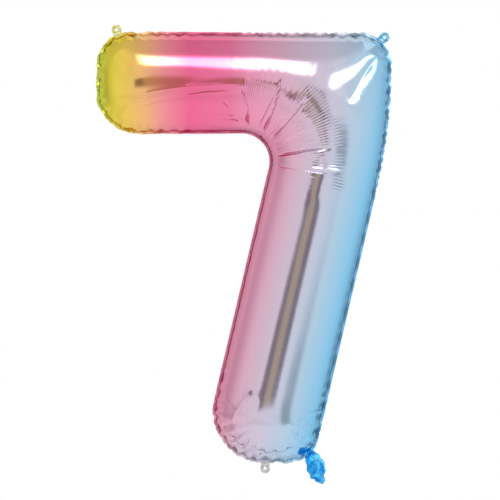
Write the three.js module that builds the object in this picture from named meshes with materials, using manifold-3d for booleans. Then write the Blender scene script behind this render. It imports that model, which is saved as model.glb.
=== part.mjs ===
// Foil number balloon, the figure 7, about 0.86 m tall when filled.
//
// Two sheets of metallised film are heat-sealed together round the figure's edge and
// blown up between. A flat rim of sealed film is left outside the seal, with three
// punched hanging tabs on it. At the foot of the figure both sheets run on as a flat
// filling neck, and a flat two-ply valve is welded into the neck and stands inside.
//
// Millimetres, +Z up, front towards -Y. The origin is the middle of a string threaded
// through the two top eyelets. The figure is drawn in its own sheet frame, with X = 0
// at its left edge and Z = 0 at its top edge, and the group shifts it to the origin.

import * as THREE from 'three';
import { mergeVertices } from 'three/addons/utils/BufferGeometryUtils.js';
import Module from 'manifold-3d';

const wasm = await Module();
wasm.setup();

const { Vector2, Vector3 } = THREE;
const { degToRad, lerp } = THREE.MathUtils;

// --- Driving dimensions -----------------------------------------------------------

// The figure, over the outer edge of its rim.
const BODY_WIDTH = 590;
const BODY_HEIGHT = 860;
const BAR_HEIGHT = 202;
const LEG_WIDTH = 220;
const LEG_LEAN = degToRad(13.2); // from upright
const HIP_DROP = 187; // from the top edge down to where the right side leans over
const END_TOP_RADIUS = 70;
const END_BOTTOM_RADIUS = 84;
const CORNER_RADIUS = 68;
const HIP_RADIUS = 1000;
const FOOT_RIGHT_RADIUS = 66;
const FOOT_LEFT_RADIUS = 104;
const INNER_BEND_RADIUS = 56;
const RIM_WIDTH = 5;

// How far it is blown up.
const FULLNESS = 0.95; // depth over width of a straight limb
const BEND_RIDGE_OUT = 26; // how far the ridge runs outside the limbs' middle in the bend
const BEND_EXTRA_DEPTH = 20; // how much deeper each half is there

// Film, drawn thicker than the real 0.05 mm so that every sheet is a robust solid.
const FILM = 0.5;
const VALVE_FILM = 0.4;
const GAP = 0.3; // between sheets that touch

// Hanging tabs.
const TAB_WIDTH = 21;
const TAB_FLARE = 5; // extra half width at the root
const TAB_FOLD_OUT = 3; // from the rim's edge to the fold
const EYELET_REACH = 8.5; // from the fold to the eyelet's middle
const EYELET_RADIUS = 4;
const FOLD_CLEARANCE = 0.8; // either side of a fold, so that a quarter turn is clear

// Filling neck.
const NECK_ROOT_WIDTH = 27;
const NECK_WIDTH = 40;
const NECK_MOUTH_WIDTH = 22;
const NECK_LENGTH = 62;
const NECK_FOLD_OUT = 7; // from the rim's edge to the root fold
const NECK_DIRECTION = degToRad(-63);

// Self-sealing valve.
const VALVE_WIDTH = 20;
const VALVE_REACH = 85; // inside the gas space
const VALVE_MOUTH_BACK = 2; // its mouth, back from the neck's root fold
const VALVE_FOLD_IN = 6; // its plies part from here on, inside the seal

// Mesh fineness.
const FAN_STEP = degToRad(9);
const BEND_STEP = degToRad(4.5);
const OUTLINE_STEP = degToRad(3);
const STATION_STEP = 42;
const RINGS = 7;
const EYELET_SEGMENTS = 24;

// --- Outline of the figure --------------------------------------------------------

const legDown = new Vector2(-Math.sin(LEG_LEAN), -Math.cos(LEG_LEAN));
const legRight = new Vector2(Math.cos(LEG_LEAN), -Math.sin(LEG_LEAN));
const hip = new Vector2(BODY_WIDTH, -HIP_DROP);

// The point of the leg's right or left side at height z.
function legSide(z, across) {
  const start = hip.clone().addScaledVector(legRight, -across);
  return start.addScaledVector(legDown, (z - start.y) / legDown.y);
}

// Corners of the figure, clockwise from the top left.
const corners = [
  { at: new Vector2(0, 0), radius: END_TOP_RADIUS },
  { at: new Vector2(BODY_WIDTH, 0), radius: CORNER_RADIUS },
  { at: hip, radius: HIP_RADIUS },
  { at: legSide(-BODY_HEIGHT, 0), radius: FOOT_RIGHT_RADIUS },
  { at: legSide(-BODY_HEIGHT, LEG_WIDTH), radius: FOOT_LEFT_RADIUS },
  { at: legSide(-BAR_HEIGHT, LEG_WIDTH), radius: INNER_BEND_RADIUS },
  { at: new Vector2(0, -BAR_HEIGHT), radius: END_BOTTOM_RADIUS },
];
const [END_TOP, CORNER, , FOOT_RIGHT, FOOT_LEFT, INNER_BEND] = corners.keys();

// Each corner's turn, and the length that its arc takes from both of its edges.
corners.forEach((corner, i) => {
  const before = corners.at(i - 1).at;
  const after = corners[(i + 1) % corners.length].at;
  corner.into = corner.at.clone().sub(before).normalize();
  corner.out = after.clone().sub(corner.at).normalize();
  corner.turn = Math.atan2(corner.into.cross(corner.out), corner.into.dot(corner.out));
  corner.takes = corner.radius * Math.tan(Math.abs(corner.turn) / 2);
});

// The share of a corner's radius that its two edges have room for.
function roomFor(i) {
  const corner = corners[i];
  const neighbours = [corners.at(i - 1), corners[(i + 1) % corners.length]];
  const shares = neighbours.map((other) => (
    corner.at.distanceTo(other.at) / (corner.takes + other.takes)));
  return Math.min(1, ...shares);
}

// The arc that rounds each corner: its middle, radius, first angle and signed sweep.
const arcs = corners.map((corner, i) => {
  const share = roomFor(i);
  const radius = corner.radius * share;
  const side = Math.sign(corner.turn);
  const inward = new Vector2(-corner.into.y, corner.into.x).multiplyScalar(side * radius);
  const middle = corner.at.clone().addScaledVector(corner.into, -corner.takes * share);
  middle.add(inward);
  return { middle, radius, side, turn: corner.turn, start: Math.atan2(-inward.y, -inward.x) };
});

// The outline moved outwards by a distance, or inwards if it is negative, as a fine polygon.
function outlineAt(distance) {
  return arcs.flatMap(({ middle, radius, side, turn, start }) => {
    const steps = Math.ceil(Math.abs(turn) / OUTLINE_STEP);
    return Array.from({ length: steps + 1 }, (_, k) => {
      const angle = start + turn * k / steps;
      const reach = radius - side * distance;
      return new Vector2(Math.cos(angle), Math.sin(angle)).multiplyScalar(reach).add(middle);
    });
  });
}

// How far a ray runs from a point before it first meets a polygon.
function reachTo(polygon, from, direction) {
  let nearest = Infinity;
  polygon.forEach((a, i) => {
    const edge = polygon[(i + 1) % polygon.length].clone().sub(a);
    const toEdge = a.clone().sub(from);
    const slope = direction.cross(edge);
    const along = toEdge.cross(edge) / slope;
    const share = toEdge.cross(direction) / slope;
    if (along > 0 && share >= 0 && share <= 1) nearest = Math.min(nearest, along);
  });
  return nearest;
}

// --- Ridge of the inflated figure -------------------------------------------------

const bendMiddle = arcs[INNER_BEND].middle;
const barHalfDepth = FULLNESS * (BAR_HEIGHT / 2 - RIM_WIDTH);
const legHalfDepth = FULLNESS * (LEG_WIDTH / 2 - RIM_WIDTH);

function evenly(length, step) {
  const count = Math.max(1, Math.ceil(length / step));
  return Array.from({ length: count }, (_, k) => k / count);
}

// Stations along the ridge, from the bar's end to the foot: where the ridge is, the
// direction of the figure's outer side from there, and the half depth.
function ridgeStations() {
  const barStart = new Vector2(BAR_HEIGHT / 2, -BAR_HEIGHT / 2);
  const barLength = bendMiddle.x - barStart.x;
  const bar = evenly(barLength, STATION_STEP).map((share) => ({
    ridge: barStart.clone().setX(barStart.x + share * barLength),
    outer: new Vector2(0, 1),
    halfDepth: barHalfDepth,
  }));

  const bendSweep = Math.PI / 2 + LEG_LEAN;
  const bend = evenly(bendSweep, BEND_STEP).map((share) => {
    const angle = Math.PI / 2 - share * bendSweep;
    const outer = new Vector2(Math.cos(angle), Math.sin(angle));
    const swell = Math.sin(Math.PI * share) ** 2;
    const limb = lerp(BAR_HEIGHT, LEG_WIDTH, share) / 2;
    const reach = INNER_BEND_RADIUS + limb + BEND_RIDGE_OUT * swell;
    return {
      ridge: bendMiddle.clone().addScaledVector(outer, reach),
      outer,
      halfDepth: lerp(barHalfDepth, legHalfDepth, share) + BEND_EXTRA_DEPTH * swell,
    };
  });

  const legStart = bendMiddle.clone();
  legStart.addScaledVector(legRight, INNER_BEND_RADIUS + LEG_WIDTH / 2);
  const legLength = (LEG_WIDTH / 2 - BODY_HEIGHT - legStart.y) / legDown.y;
  const leg = [...evenly(legLength, STATION_STEP), 1].map((share) => ({
    ridge: legStart.clone().addScaledVector(legDown, share * legLength),
    outer: legRight.clone(),
    halfDepth: legHalfDepth,
  }));
  return [...bar, ...bend, ...leg];
}

// The spokes that fan half a turn round the ridge's end, from one side to the other.
function fan({ ridge, halfDepth }, first) {
  return evenly(Math.PI, FAN_STEP).slice(1).map((share) => {
    const outer = first.clone().rotateAround(new Vector2(), -share * Math.PI);
    return { ridge, outer, halfDepth };
  });
}

// Spokes from the ridge to the edge, clockwise round the figure from the bar's far end.
function allSpokes() {
  const outerSide = ridgeStations();
  const innerSide = outerSide.map((station) => (
    { ...station, outer: station.outer.clone().negate() })).reverse();
  const barEnd = fan(outerSide[0], outerSide[0].outer.clone().negate());
  const footEnd = fan(outerSide.at(-1), outerSide.at(-1).outer);
  return [...barEnd, ...outerSide, ...footEnd, ...innerSide];
}

const spokes = allSpokes();

// Where the spokes meet the outline moved outwards by a distance.
function loopAt(distance) {
  const polygon = outlineAt(distance);
  return spokes.map(({ ridge, outer }) => (
    ridge.clone().addScaledVector(outer, reachTo(polygon, ridge, outer))));
}

// --- Solids -----------------------------------------------------------------------

function toSolid(geometry) {
  geometry.deleteAttribute('normal');
  geometry.deleteAttribute('uv');
  const merged = mergeVertices(geometry, 1e-3);
  return new wasm.Manifold(new wasm.Mesh({
    numProp: 3,
    vertProperties: new Float32Array(merged.getAttribute('position').array),
    triVerts: new Uint32Array(merged.index.array),
  }));
}

function toGeometry(solid) {
  const mesh = solid.getMesh();
  const geometry = new THREE.BufferGeometry();
  geometry.setAttribute('position', new THREE.BufferAttribute(mesh.vertProperties, 3));
  geometry.setIndex(new THREE.BufferAttribute(mesh.triVerts, 1));
  geometry.computeVertexNormals();
  return geometry;
}

// A flat plate of the sheet frame's shape, between two depths.
function plate(shape, front, rear) {
  const geometry = new THREE.ExtrudeGeometry(shape, {
    depth: rear - front,
    bevelEnabled: false,
    curveSegments: EYELET_SEGMENTS,
  });
  return geometry.rotateX(Math.PI / 2).translate(0, rear, 0);
}

// One half of the gas space's boundary, from the loop at the edge up to the ridge. The
// triangles that close up at the ridge's two ends are left out.
function domeFaces(loop, inset, depthSide, outwards) {
  const ring = (k) => spokes.map(({ ridge, halfDepth }, i) => {
    const angle = Math.PI / 2 * k / RINGS;
    const flat = ridge.clone().lerp(loop[i], k === RINGS ? 0 : Math.cos(angle));
    const depth = GAP / 2 + (FILM - inset) + (halfDepth - FILM) * Math.sin(angle);
    return new Vector3(flat.x, depthSide * depth, flat.y);
  });
  const rings = Array.from({ length: RINGS + 1 }, (_, k) => ring(k));
  const faces = [];
  for (let k = 0; k < RINGS; k++) {
    spokes.forEach((_, i) => {
      const next = (i + 1) % spokes.length;
      faces.push([rings[k][i], rings[k][next], rings[k + 1][next]]);
      faces.push([rings[k][i], rings[k + 1][next], rings[k + 1][i]]);
    });
  }
  const whole = faces.filter(([a, b, c]) => (
    a.distanceTo(b) > 1e-3 && b.distanceTo(c) > 1e-3 && c.distanceTo(a) > 1e-3));
  return outwards ? whole : whole.map(([a, b, c]) => [a, c, b]);
}

// The domed part of one sheet: its outer skin, its inner skin and the edge between them.
function domedSheet(depthSide) {
  const seam = loopAt(-RIM_WIDTH - GAP);
  const seamInside = loopAt(-RIM_WIDTH - GAP - FILM);
  const isFront = depthSide < 0;
  const edge = spokes.flatMap((_, i) => {
    const next = (i + 1) % spokes.length;
    const [a, b] = [seam[i], seam[next]].map((p) => (
      new Vector3(p.x, depthSide * (GAP / 2 + FILM), p.y)));
    const [c, d] = [seamInside[i], seamInside[next]].map((p) => (
      new Vector3(p.x, depthSide * GAP / 2, p.y)));
    return isFront ? [[a, d, c], [a, b, d]] : [[a, c, d], [a, d, b]];
  });
  const faces = [
    ...domeFaces(seam, 0, depthSide, !isFront),
    ...domeFaces(seamInside, FILM, depthSide, isFront),
    ...edge,
  ];
  return new THREE.BufferGeometry().setFromPoints(faces.flat());
}

// --- Folds: where a tab or the neck leaves the rim --------------------------------

// A fold's middle and its outward direction. Its hinge line is square to that direction.
function foldAt(arcIndex, rimAngle, direction, foldOut) {
  const { middle, radius } = arcs[arcIndex];
  const rimPoint = new Vector2(Math.cos(rimAngle), Math.sin(rimAngle));
  rimPoint.multiplyScalar(radius).add(middle);
  const outward = new Vector2(Math.cos(direction), Math.sin(direction));
  return { at: rimPoint.addScaledVector(outward, foldOut), outward, direction };
}

const folds = {
  hanging_tab_top_left: foldAt(END_TOP, degToRad(113), degToRad(103), TAB_FOLD_OUT),
  hanging_tab_top_right: foldAt(CORNER, degToRad(48), degToRad(42), TAB_FOLD_OUT),
  hanging_tab_bottom: foldAt(FOOT_LEFT, degToRad(-90), degToRad(-90), TAB_FOLD_OUT),
};
const neckFold = foldAt(FOOT_RIGHT, degToRad(-48), NECK_DIRECTION, NECK_FOLD_OUT);

// Turns a plate drawn about a fold, with +Z outwards from it, to its place in the sheet.
function placeAtFold(geometry, { at, direction }) {
  return geometry.rotateY(Math.PI / 2 - direction).translate(at.x, 0, at.y);
}

function eyeletOf({ at, outward }) {
  return at.clone().addScaledVector(outward, EYELET_REACH);
}

// The sealed stub between the rim and a tab's fold.
function tabRoot() {
  const inside = -TAB_FOLD_OUT - RIM_WIDTH;
  return new THREE.Shape([
    new Vector2(-TAB_WIDTH / 2 - TAB_FLARE, inside),
    new Vector2(TAB_WIDTH / 2 + TAB_FLARE, inside),
    new Vector2(TAB_WIDTH / 2 + TAB_FLARE, -TAB_FOLD_OUT),
    new Vector2(TAB_WIDTH / 2, -FOLD_CLEARANCE),
    new Vector2(-TAB_WIDTH / 2, -FOLD_CLEARANCE),
    new Vector2(-TAB_WIDTH / 2 - TAB_FLARE, -TAB_FOLD_OUT),
  ]);
}

// A band straight across a fold, between two distances from it.
function strip(width, from, to) {
  return new THREE.Shape([
    new Vector2(-width / 2, from),
    new Vector2(width / 2, from),
    new Vector2(width / 2, to),
    new Vector2(-width / 2, to),
  ]);
}

// --- Pieces -----------------------------------------------------------------------

const passageHalf = GAP / 2 + VALVE_FILM + GAP;
const neckRun = NECK_FOLD_OUT + RIM_WIDTH + GAP; // from the root fold in to the seal

function makeFilm(depthSide) {
  const sideways = [passageHalf, passageHalf + FILM].map((depth) => depthSide * depth);
  const [front, rear] = sideways.sort((a, b) => a - b);
  const tongue = plate(strip(NECK_ROOT_WIDTH, -neckRun - 2, -FOLD_CLEARANCE), front, rear);
  const passage = plate(strip(VALVE_WIDTH + 2 * GAP, -neckRun - VALVE_REACH, 0),
    -passageHalf, passageHalf);
  const film = toSolid(domedSheet(depthSide))
    .add(toSolid(placeAtFold(tongue, neckFold)))
    .subtract(toSolid(placeAtFold(passage, neckFold)));
  return toGeometry(film);
}

function makeRim() {
  let rim = toSolid(plate(new THREE.Shape(loopAt(0)), -FILM, FILM));
  for (const fold of Object.values(folds)) {
    rim = rim.add(toSolid(placeAtFold(plate(tabRoot(), -FILM, FILM), fold)));
  }
  const inside = plate(new THREE.Shape(loopAt(-RIM_WIDTH)), -2 * FILM, 2 * FILM);
  const neckSlot = plate(strip(NECK_ROOT_WIDTH + 2 * GAP, -2 * neckRun, neckRun),
    -2 * FILM, 2 * FILM);
  rim = rim.subtract(toSolid(inside)).subtract(toSolid(placeAtFold(neckSlot, neckFold)));
  return toGeometry(rim);
}

function makeTab(fold) {
  const shape = new THREE.Shape();
  shape.moveTo(-TAB_WIDTH / 2, FOLD_CLEARANCE);
  shape.lineTo(TAB_WIDTH / 2, FOLD_CLEARANCE);
  shape.absarc(0, EYELET_REACH, TAB_WIDTH / 2, 0, Math.PI, false);
  const eyelet = new THREE.Path();
  eyelet.absarc(0, EYELET_REACH, EYELET_RADIUS, 0, 2 * Math.PI, true);
  shape.holes.push(eyelet);
  return placeAtFold(plate(shape, -FILM, FILM), fold);
}

function makeNeckPly(depthSide) {
  const widest = NECK_LENGTH * 0.4;
  const shape = new THREE.Shape();
  shape.moveTo(-NECK_ROOT_WIDTH / 2, FOLD_CLEARANCE);
  shape.lineTo(NECK_ROOT_WIDTH / 2, FOLD_CLEARANCE);
  shape.quadraticCurveTo(NECK_WIDTH / 2, widest / 2, NECK_WIDTH / 2, widest);
  shape.quadraticCurveTo(NECK_WIDTH / 2, NECK_LENGTH * 0.8, NECK_MOUTH_WIDTH / 2, NECK_LENGTH);
  shape.lineTo(-NECK_MOUTH_WIDTH / 2, NECK_LENGTH);
  shape.quadraticCurveTo(-NECK_WIDTH / 2, NECK_LENGTH * 0.8, -NECK_WIDTH / 2, widest);
  shape.quadraticCurveTo(-NECK_WIDTH / 2, widest / 2, -NECK_ROOT_WIDTH / 2, FOLD_CLEARANCE);
  const near = GAP / 2;
  const [front, rear] = depthSide < 0 ? [-near - FILM, -near] : [near, near + FILM];
  return placeAtFold(plate(shape, front, rear), neckFold);
}

function makeValvePly(depthSide, from, to) {
  const near = GAP / 2;
  const [front, rear] = depthSide < 0
    ? [-near - VALVE_FILM, -near]
    : [near, near + VALVE_FILM];
  return placeAtFold(plate(strip(VALVE_WIDTH, from, to), front, rear), neckFold);
}

// --- Assembly ---------------------------------------------------------------------

const foil = (color) => new THREE.MeshStandardMaterial({ color, roughness: 0.15, metalness: 0.9 });
const clearFilm = new THREE.MeshStandardMaterial({ color: 0xd8dde2, roughness: 0.3 });

const FRONT = -1;
const REAR = 1;
const valveMouth = -VALVE_MOUTH_BACK;
const valveEnd = -neckRun - VALVE_REACH;
const valveFold = -neckRun - VALVE_FOLD_IN;
const pieces = {
  front_film: [makeFilm(FRONT), foil(0xd8b8d0)],
  rear_film: [makeFilm(REAR), foil(0xc8b0d4)],
  sealed_rim: [makeRim(), foil(0xb98aa4)],
  hanging_tab_top_left: [makeTab(folds.hanging_tab_top_left), foil(0xd9d070)],
  hanging_tab_top_right: [makeTab(folds.hanging_tab_top_right), foil(0x6db6d8)],
  hanging_tab_bottom: [makeTab(folds.hanging_tab_bottom), foil(0xc8c6c4)],
  neck_front_ply: [makeNeckPly(FRONT), foil(0x35b5f5)],
  neck_rear_ply: [makeNeckPly(REAR), foil(0x0a62b8)],
  valve_mouth_front_ply: [
    makeValvePly(FRONT, valveFold + FOLD_CLEARANCE, valveMouth), clearFilm],
  valve_mouth_rear_ply: [
    makeValvePly(REAR, valveFold + FOLD_CLEARANCE, valveMouth), clearFilm.clone()],
  valve_front_ply: [
    makeValvePly(FRONT, valveEnd, valveFold - FOLD_CLEARANCE), clearFilm.clone()],
  valve_rear_ply: [
    makeValvePly(REAR, valveEnd, valveFold - FOLD_CLEARANCE), clearFilm.clone()],
};

const balloon = new THREE.Group();
for (const [name, [geometry, material]] of Object.entries(pieces)) {
  const mesh = new THREE.Mesh(geometry, material);
  mesh.name = name;
  balloon.add(mesh);
}

// The origin: the middle of the string through the two top eyelets.
const stringMiddle = eyeletOf(folds.hanging_tab_top_left)
  .lerp(eyeletOf(folds.hanging_tab_top_right), 0.5);
balloon.position.set(-stringMiddle.x, 0, -stringMiddle.y);

export default balloon;
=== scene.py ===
"""A helium balloon in the shape of the figure 7, made of two plies of metallised film."""
import math

import bmesh
import bpy
import numpy as np
from mathutils import Matrix, Vector
from mathutils.geometry import delaunay_2d_cdt
from mathutils.kdtree import KDTree


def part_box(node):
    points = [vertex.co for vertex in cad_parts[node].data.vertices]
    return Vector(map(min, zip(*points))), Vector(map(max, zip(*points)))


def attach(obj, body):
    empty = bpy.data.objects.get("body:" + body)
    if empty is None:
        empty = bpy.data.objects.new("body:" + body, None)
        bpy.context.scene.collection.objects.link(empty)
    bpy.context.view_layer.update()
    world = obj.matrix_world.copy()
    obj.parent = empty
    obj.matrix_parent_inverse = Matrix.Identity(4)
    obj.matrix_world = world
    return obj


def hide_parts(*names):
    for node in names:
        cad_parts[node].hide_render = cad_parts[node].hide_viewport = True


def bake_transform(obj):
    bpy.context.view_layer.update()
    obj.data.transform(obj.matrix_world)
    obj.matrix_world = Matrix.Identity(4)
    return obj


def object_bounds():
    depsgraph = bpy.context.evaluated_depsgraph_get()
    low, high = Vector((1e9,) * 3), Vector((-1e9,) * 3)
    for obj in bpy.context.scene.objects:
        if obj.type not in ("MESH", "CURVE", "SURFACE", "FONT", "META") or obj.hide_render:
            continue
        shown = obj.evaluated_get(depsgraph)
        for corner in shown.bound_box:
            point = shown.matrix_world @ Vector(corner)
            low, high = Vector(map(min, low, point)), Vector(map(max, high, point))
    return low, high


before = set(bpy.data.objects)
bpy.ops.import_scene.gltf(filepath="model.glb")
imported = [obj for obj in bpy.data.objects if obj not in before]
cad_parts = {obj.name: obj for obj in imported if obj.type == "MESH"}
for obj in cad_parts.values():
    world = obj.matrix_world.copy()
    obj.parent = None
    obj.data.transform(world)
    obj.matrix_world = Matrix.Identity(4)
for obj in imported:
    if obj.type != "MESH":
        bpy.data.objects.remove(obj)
cad_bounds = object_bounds()


# ---------------------------------------------------------------- camera
# The balloon hangs upright and is seen square on from the front, with a long lens, so that
# its outline shows no perspective.
VIEW_CENTRE = Vector((-0.0011, 0.0, -0.4329))
VIEW_WIDTH = 1.0
CAMERA_DISTANCE = 4.2
SENSOR = 36.0

lens = bpy.data.cameras.new("camera")
lens.sensor_width = SENSOR
lens.lens = SENSOR * CAMERA_DISTANCE / VIEW_WIDTH
camera = bpy.data.objects.new("camera", lens)
camera.location = VIEW_CENTRE - Vector((0, CAMERA_DISTANCE, 0))
camera.rotation_euler = (math.radians(90), 0, 0)
bpy.context.scene.collection.objects.link(camera)
bpy.context.scene.camera = camera
bpy.context.scene.view_settings.view_transform = "Standard"


# ---------------------------------------------------------------- studio
# A white studio all round, seen only as the film's reflections. A bright overhead panel gives the
# bar its long highlight, a second one at the right lights the corner, and the dark gap between
# the front panels is the dark line along the ridges. Places in it are parts of a direction.
PANEL_LOW, PANEL_HIGH = 0.60, 0.84
PANEL_LEFT, PANEL_RIGHT = -0.25, -0.06
CORNER_PANEL_LOW, CORNER_PANEL_HIGH = 0.30, 0.56
CORNER_PANEL_LEFT, CORNER_PANEL_RIGHT = 0.25, 0.90
REAR_PANEL_LEFT, REAR_PANEL_RIGHT = -0.17, 0.60
PANEL_LIGHT, CORNER_PANEL_LIGHT, REAR_PANEL_LIGHT = 5.0, 3.6, 1.15
WALL_COLOUR = (0.93, 0.93, 0.93)
UNDER_COLOUR = (0.92, 0.92, 0.94)
CEILING_COLOUR = (0.70, 0.69, 0.71)
STRIPE_COLOUR = (0.78, 0.78, 0.80)
STRIPE_SHARE, LOW_STRIPE_SHARE = 0.55, 0.6
SCREEN_LEFT, SCREEN_RIGHT = 0.36, 0.66
SCREEN_COLOUR = (0.36, 0.39, 0.40)
SCREEN_SHARE = 0.8
SIDE_COLOUR = (0.50, 0.46, 0.48)
GAP_LEFT, GAP_RIGHT, GAP_SOFT = -0.46, 0.12, 0.03
GAP_TOP_LEFT = -0.20
GAP_FOOT, GAP_HEAD = (-0.24, -0.08), (0.10, 0.33)
GAP_CENTRE = -0.17
GAP_CENTRE_WIDTH = 0.11
GAP_EDGE_COLOUR = (0.26, 0.22, 0.25)
GAP_CENTRE_COLOUR = (0.52, 0.46, 0.31)
FLOOR_DROP = 0.9
FLOOR_SIZE = 3.0


class Number:
    """A shader number. An operator on it adds the Math node that works it out."""

    def __init__(self, shader, socket):
        self.shader, self.socket = shader, socket

    def math(self, operation, *others):
        made = self.shader.node("ShaderNodeMath", {"operation": operation},
                                {at: value for at, value in enumerate((self, *others))})
        return Number(self.shader, made.outputs[0])

    def __add__(self, other):
        return self.math("ADD", other)

    def __sub__(self, other):
        return self.math("SUBTRACT", other)

    def __mul__(self, other):
        return self.math("MULTIPLY", other)

    def __truediv__(self, other):
        return self.math("DIVIDE", other)

    def __neg__(self):
        return self.math("MULTIPLY", -1.0)

    def __radd__(self, other):
        return self.math("ADD", other)

    def __rmul__(self, other):
        return self.math("MULTIPLY", other)

    def __rsub__(self, other):
        return (-self).math("ADD", other)

    def __abs__(self):
        return self.math("ABSOLUTE")

    def rise(self, low, high):
        """0 below low and 1 above high, eased between them."""
        made = self.shader.node("ShaderNodeMapRange", {"interpolation_type": "SMOOTHSTEP"},
                                {"Value": self, "From Min": low, "From Max": high})
        return Number(self.shader, made.outputs["Result"])


class Shader:
    """The node tree of one material or world."""

    def __init__(self, owner):
        owner.use_nodes = True
        self.tree = owner.node_tree
        self.tree.nodes.clear()

    def node(self, kind, settings=None, inputs=None):
        made = self.tree.nodes.new(kind)
        for name, setting in (settings or {}).items():
            if name == "stops":
                self.set_stops(made.color_ramp, setting)
            else:
                setattr(made, name, setting)
        for name, value in (inputs or {}).items():
            if isinstance(value, Number):
                value = value.socket
            if isinstance(value, bpy.types.NodeSocket):
                self.tree.links.new(value, made.inputs[name])
            else:
                made.inputs[name].default_value = value
        return made

    def set_stops(self, ramp, stops):
        ramp.elements[0].position = stops[0][0]
        ramp.elements[1].position = stops[-1][0]
        for at in [place for place, colour in stops[1:-1]]:
            ramp.elements.new(at)
        for element, (place, colour) in zip(ramp.elements, stops):
            element.color = (*colour, 1.0)

    def parts(self, vector):
        split = self.node("ShaderNodeSeparateXYZ", inputs={0: vector})
        return [Number(self, socket) for socket in split.outputs]

    def mix(self, share, first, second):
        """The colour between two colours."""
        pick = {"data_type": "RGBA", "clamp_factor": True}
        made = self.node("ShaderNodeMix", pick, {0: share})
        for socket, colour in ((made.inputs[6], first), (made.inputs[7], second)):
            if isinstance(colour, bpy.types.NodeSocket):
                self.tree.links.new(colour, socket)
            else:
                socket.default_value = (*colour, 1.0)
        return made.outputs[2]


world = bpy.data.worlds.new("studio")
bpy.context.scene.world = world
room = Shader(world)
across, back, up = room.parts(room.node("ShaderNodeTexCoord").outputs["Generated"])


def between(number, low, high, soft):
    """1 between two values and 0 outside them, with soft edges."""
    return number.rise(low - soft, low + soft) * (1 - number.rise(high - soft, high + soft))


in_rear = back.rise(-0.05, 0.1)
in_bar_panel = between(up, PANEL_LOW, PANEL_HIGH, 0.06) * between(across, PANEL_LEFT, PANEL_RIGHT, 0.06)
in_corner_panel = between(up, CORNER_PANEL_LOW, CORNER_PANEL_HIGH, 0.04)
in_corner_panel *= between(across, CORNER_PANEL_LEFT, CORNER_PANEL_RIGHT, 0.08)
in_rear_panel = in_rear * between(up, PANEL_LOW, PANEL_HIGH, 0.04) * between(
    across, REAR_PANEL_LEFT, REAR_PANEL_RIGHT, 0.05)
in_ceiling = up.rise(0.80, 0.97) + in_rear * up.rise(0.2, 0.6)
in_side = back.rise(-0.35, 0.55) * (1 - across.rise(-0.98, -0.72))
gap_left = GAP_LEFT + (GAP_TOP_LEFT - GAP_LEFT) * up.rise(0.06, 0.20)
in_gap = (across - gap_left).rise(-GAP_SOFT, GAP_SOFT)
in_gap *= 1 - across.rise(GAP_RIGHT - GAP_SOFT, GAP_RIGHT + GAP_SOFT)
in_gap = in_gap * up.rise(*GAP_FOOT) * (1 - up.rise(*GAP_HEAD)) * (1 - in_rear)
in_screen = between(across, SCREEN_LEFT, SCREEN_RIGHT, 0.08) * (1 - up.rise(-0.25, -0.08))
in_screen *= up.rise(-0.60, -0.45)
in_gap_centre = 1 - abs(across - GAP_CENTRE).rise(GAP_CENTRE_WIDTH - 0.03, GAP_CENTRE_WIDTH + 0.03)
walls = room.mix(up.rise(-0.9, 0.3), UNDER_COLOUR, WALL_COLOUR)
walls = room.mix(in_ceiling, walls, CEILING_COLOUR)
walls = room.mix(in_side, walls, SIDE_COLOUR)
stripes = (across * 16.0 + 0.6).math("SINE") * (up * 7.0 + 0.4).math("COSINE") * 0.5 + 0.5
walls = room.mix(stripes * up.rise(-0.15, 0.1) * STRIPE_SHARE, walls, STRIPE_COLOUR)
low_stripes = (up * 20.0 + across * 6.0 + 1.0).math("SINE") * 0.5 + 0.5
walls = room.mix(low_stripes * (1 - up.rise(-0.42, -0.25)) * LOW_STRIPE_SHARE, walls, STRIPE_COLOUR)
walls = room.mix(in_screen * SCREEN_SHARE, walls, SCREEN_COLOUR)
walls = room.mix(in_gap, walls, room.mix(in_gap_centre, GAP_EDGE_COLOUR, GAP_CENTRE_COLOUR))
walls = room.mix(in_rear_panel, walls, (REAR_PANEL_LIGHT,) * 3)
walls = room.mix(in_bar_panel * (1 - in_rear), walls, (PANEL_LIGHT,) * 3)
walls = room.mix(in_corner_panel * (1 - in_rear), walls, (CORNER_PANEL_LIGHT,) * 3)
seen = room.node("ShaderNodeLightPath").outputs["Is Camera Ray"]
light = room.node("ShaderNodeBackground", inputs={"Color": room.mix(seen, walls, (1.0, 1.0, 1.0))})
room.node("ShaderNodeOutputWorld", inputs={"Surface": light.outputs[0]})

bpy.ops.object.select_all(action="DESELECT")
bpy.ops.mesh.primitive_grid_add(x_subdivisions=8, y_subdivisions=8, size=FLOOR_SIZE,
                                location=(0, 0, cad_bounds[0][2] - FLOOR_DROP))
floor = bpy.context.object
floor.name = "studio_floor"
bpy.ops.object.transform_apply(location=True)
floor_paint = bpy.data.materials.new("studio_floor_paint")
paint = Shader(floor_paint)
spot = paint.node("ShaderNodeTexCoord").outputs["Object"]
mottle = paint.node("ShaderNodeTexNoise", inputs={"Vector": spot, "Scale": 2.0})
matt = paint.node("ShaderNodeBsdfPrincipled", inputs={
    "Base Color": paint.mix(Number(paint, mottle.outputs[0]), (0.93, 0.93, 0.93), (0.96, 0.96, 0.96)),
    "Roughness": 0.7})
paint.node("ShaderNodeOutputMaterial", inputs={"Surface": matt.outputs[0]})
floor.data.materials.append(floor_paint)


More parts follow.
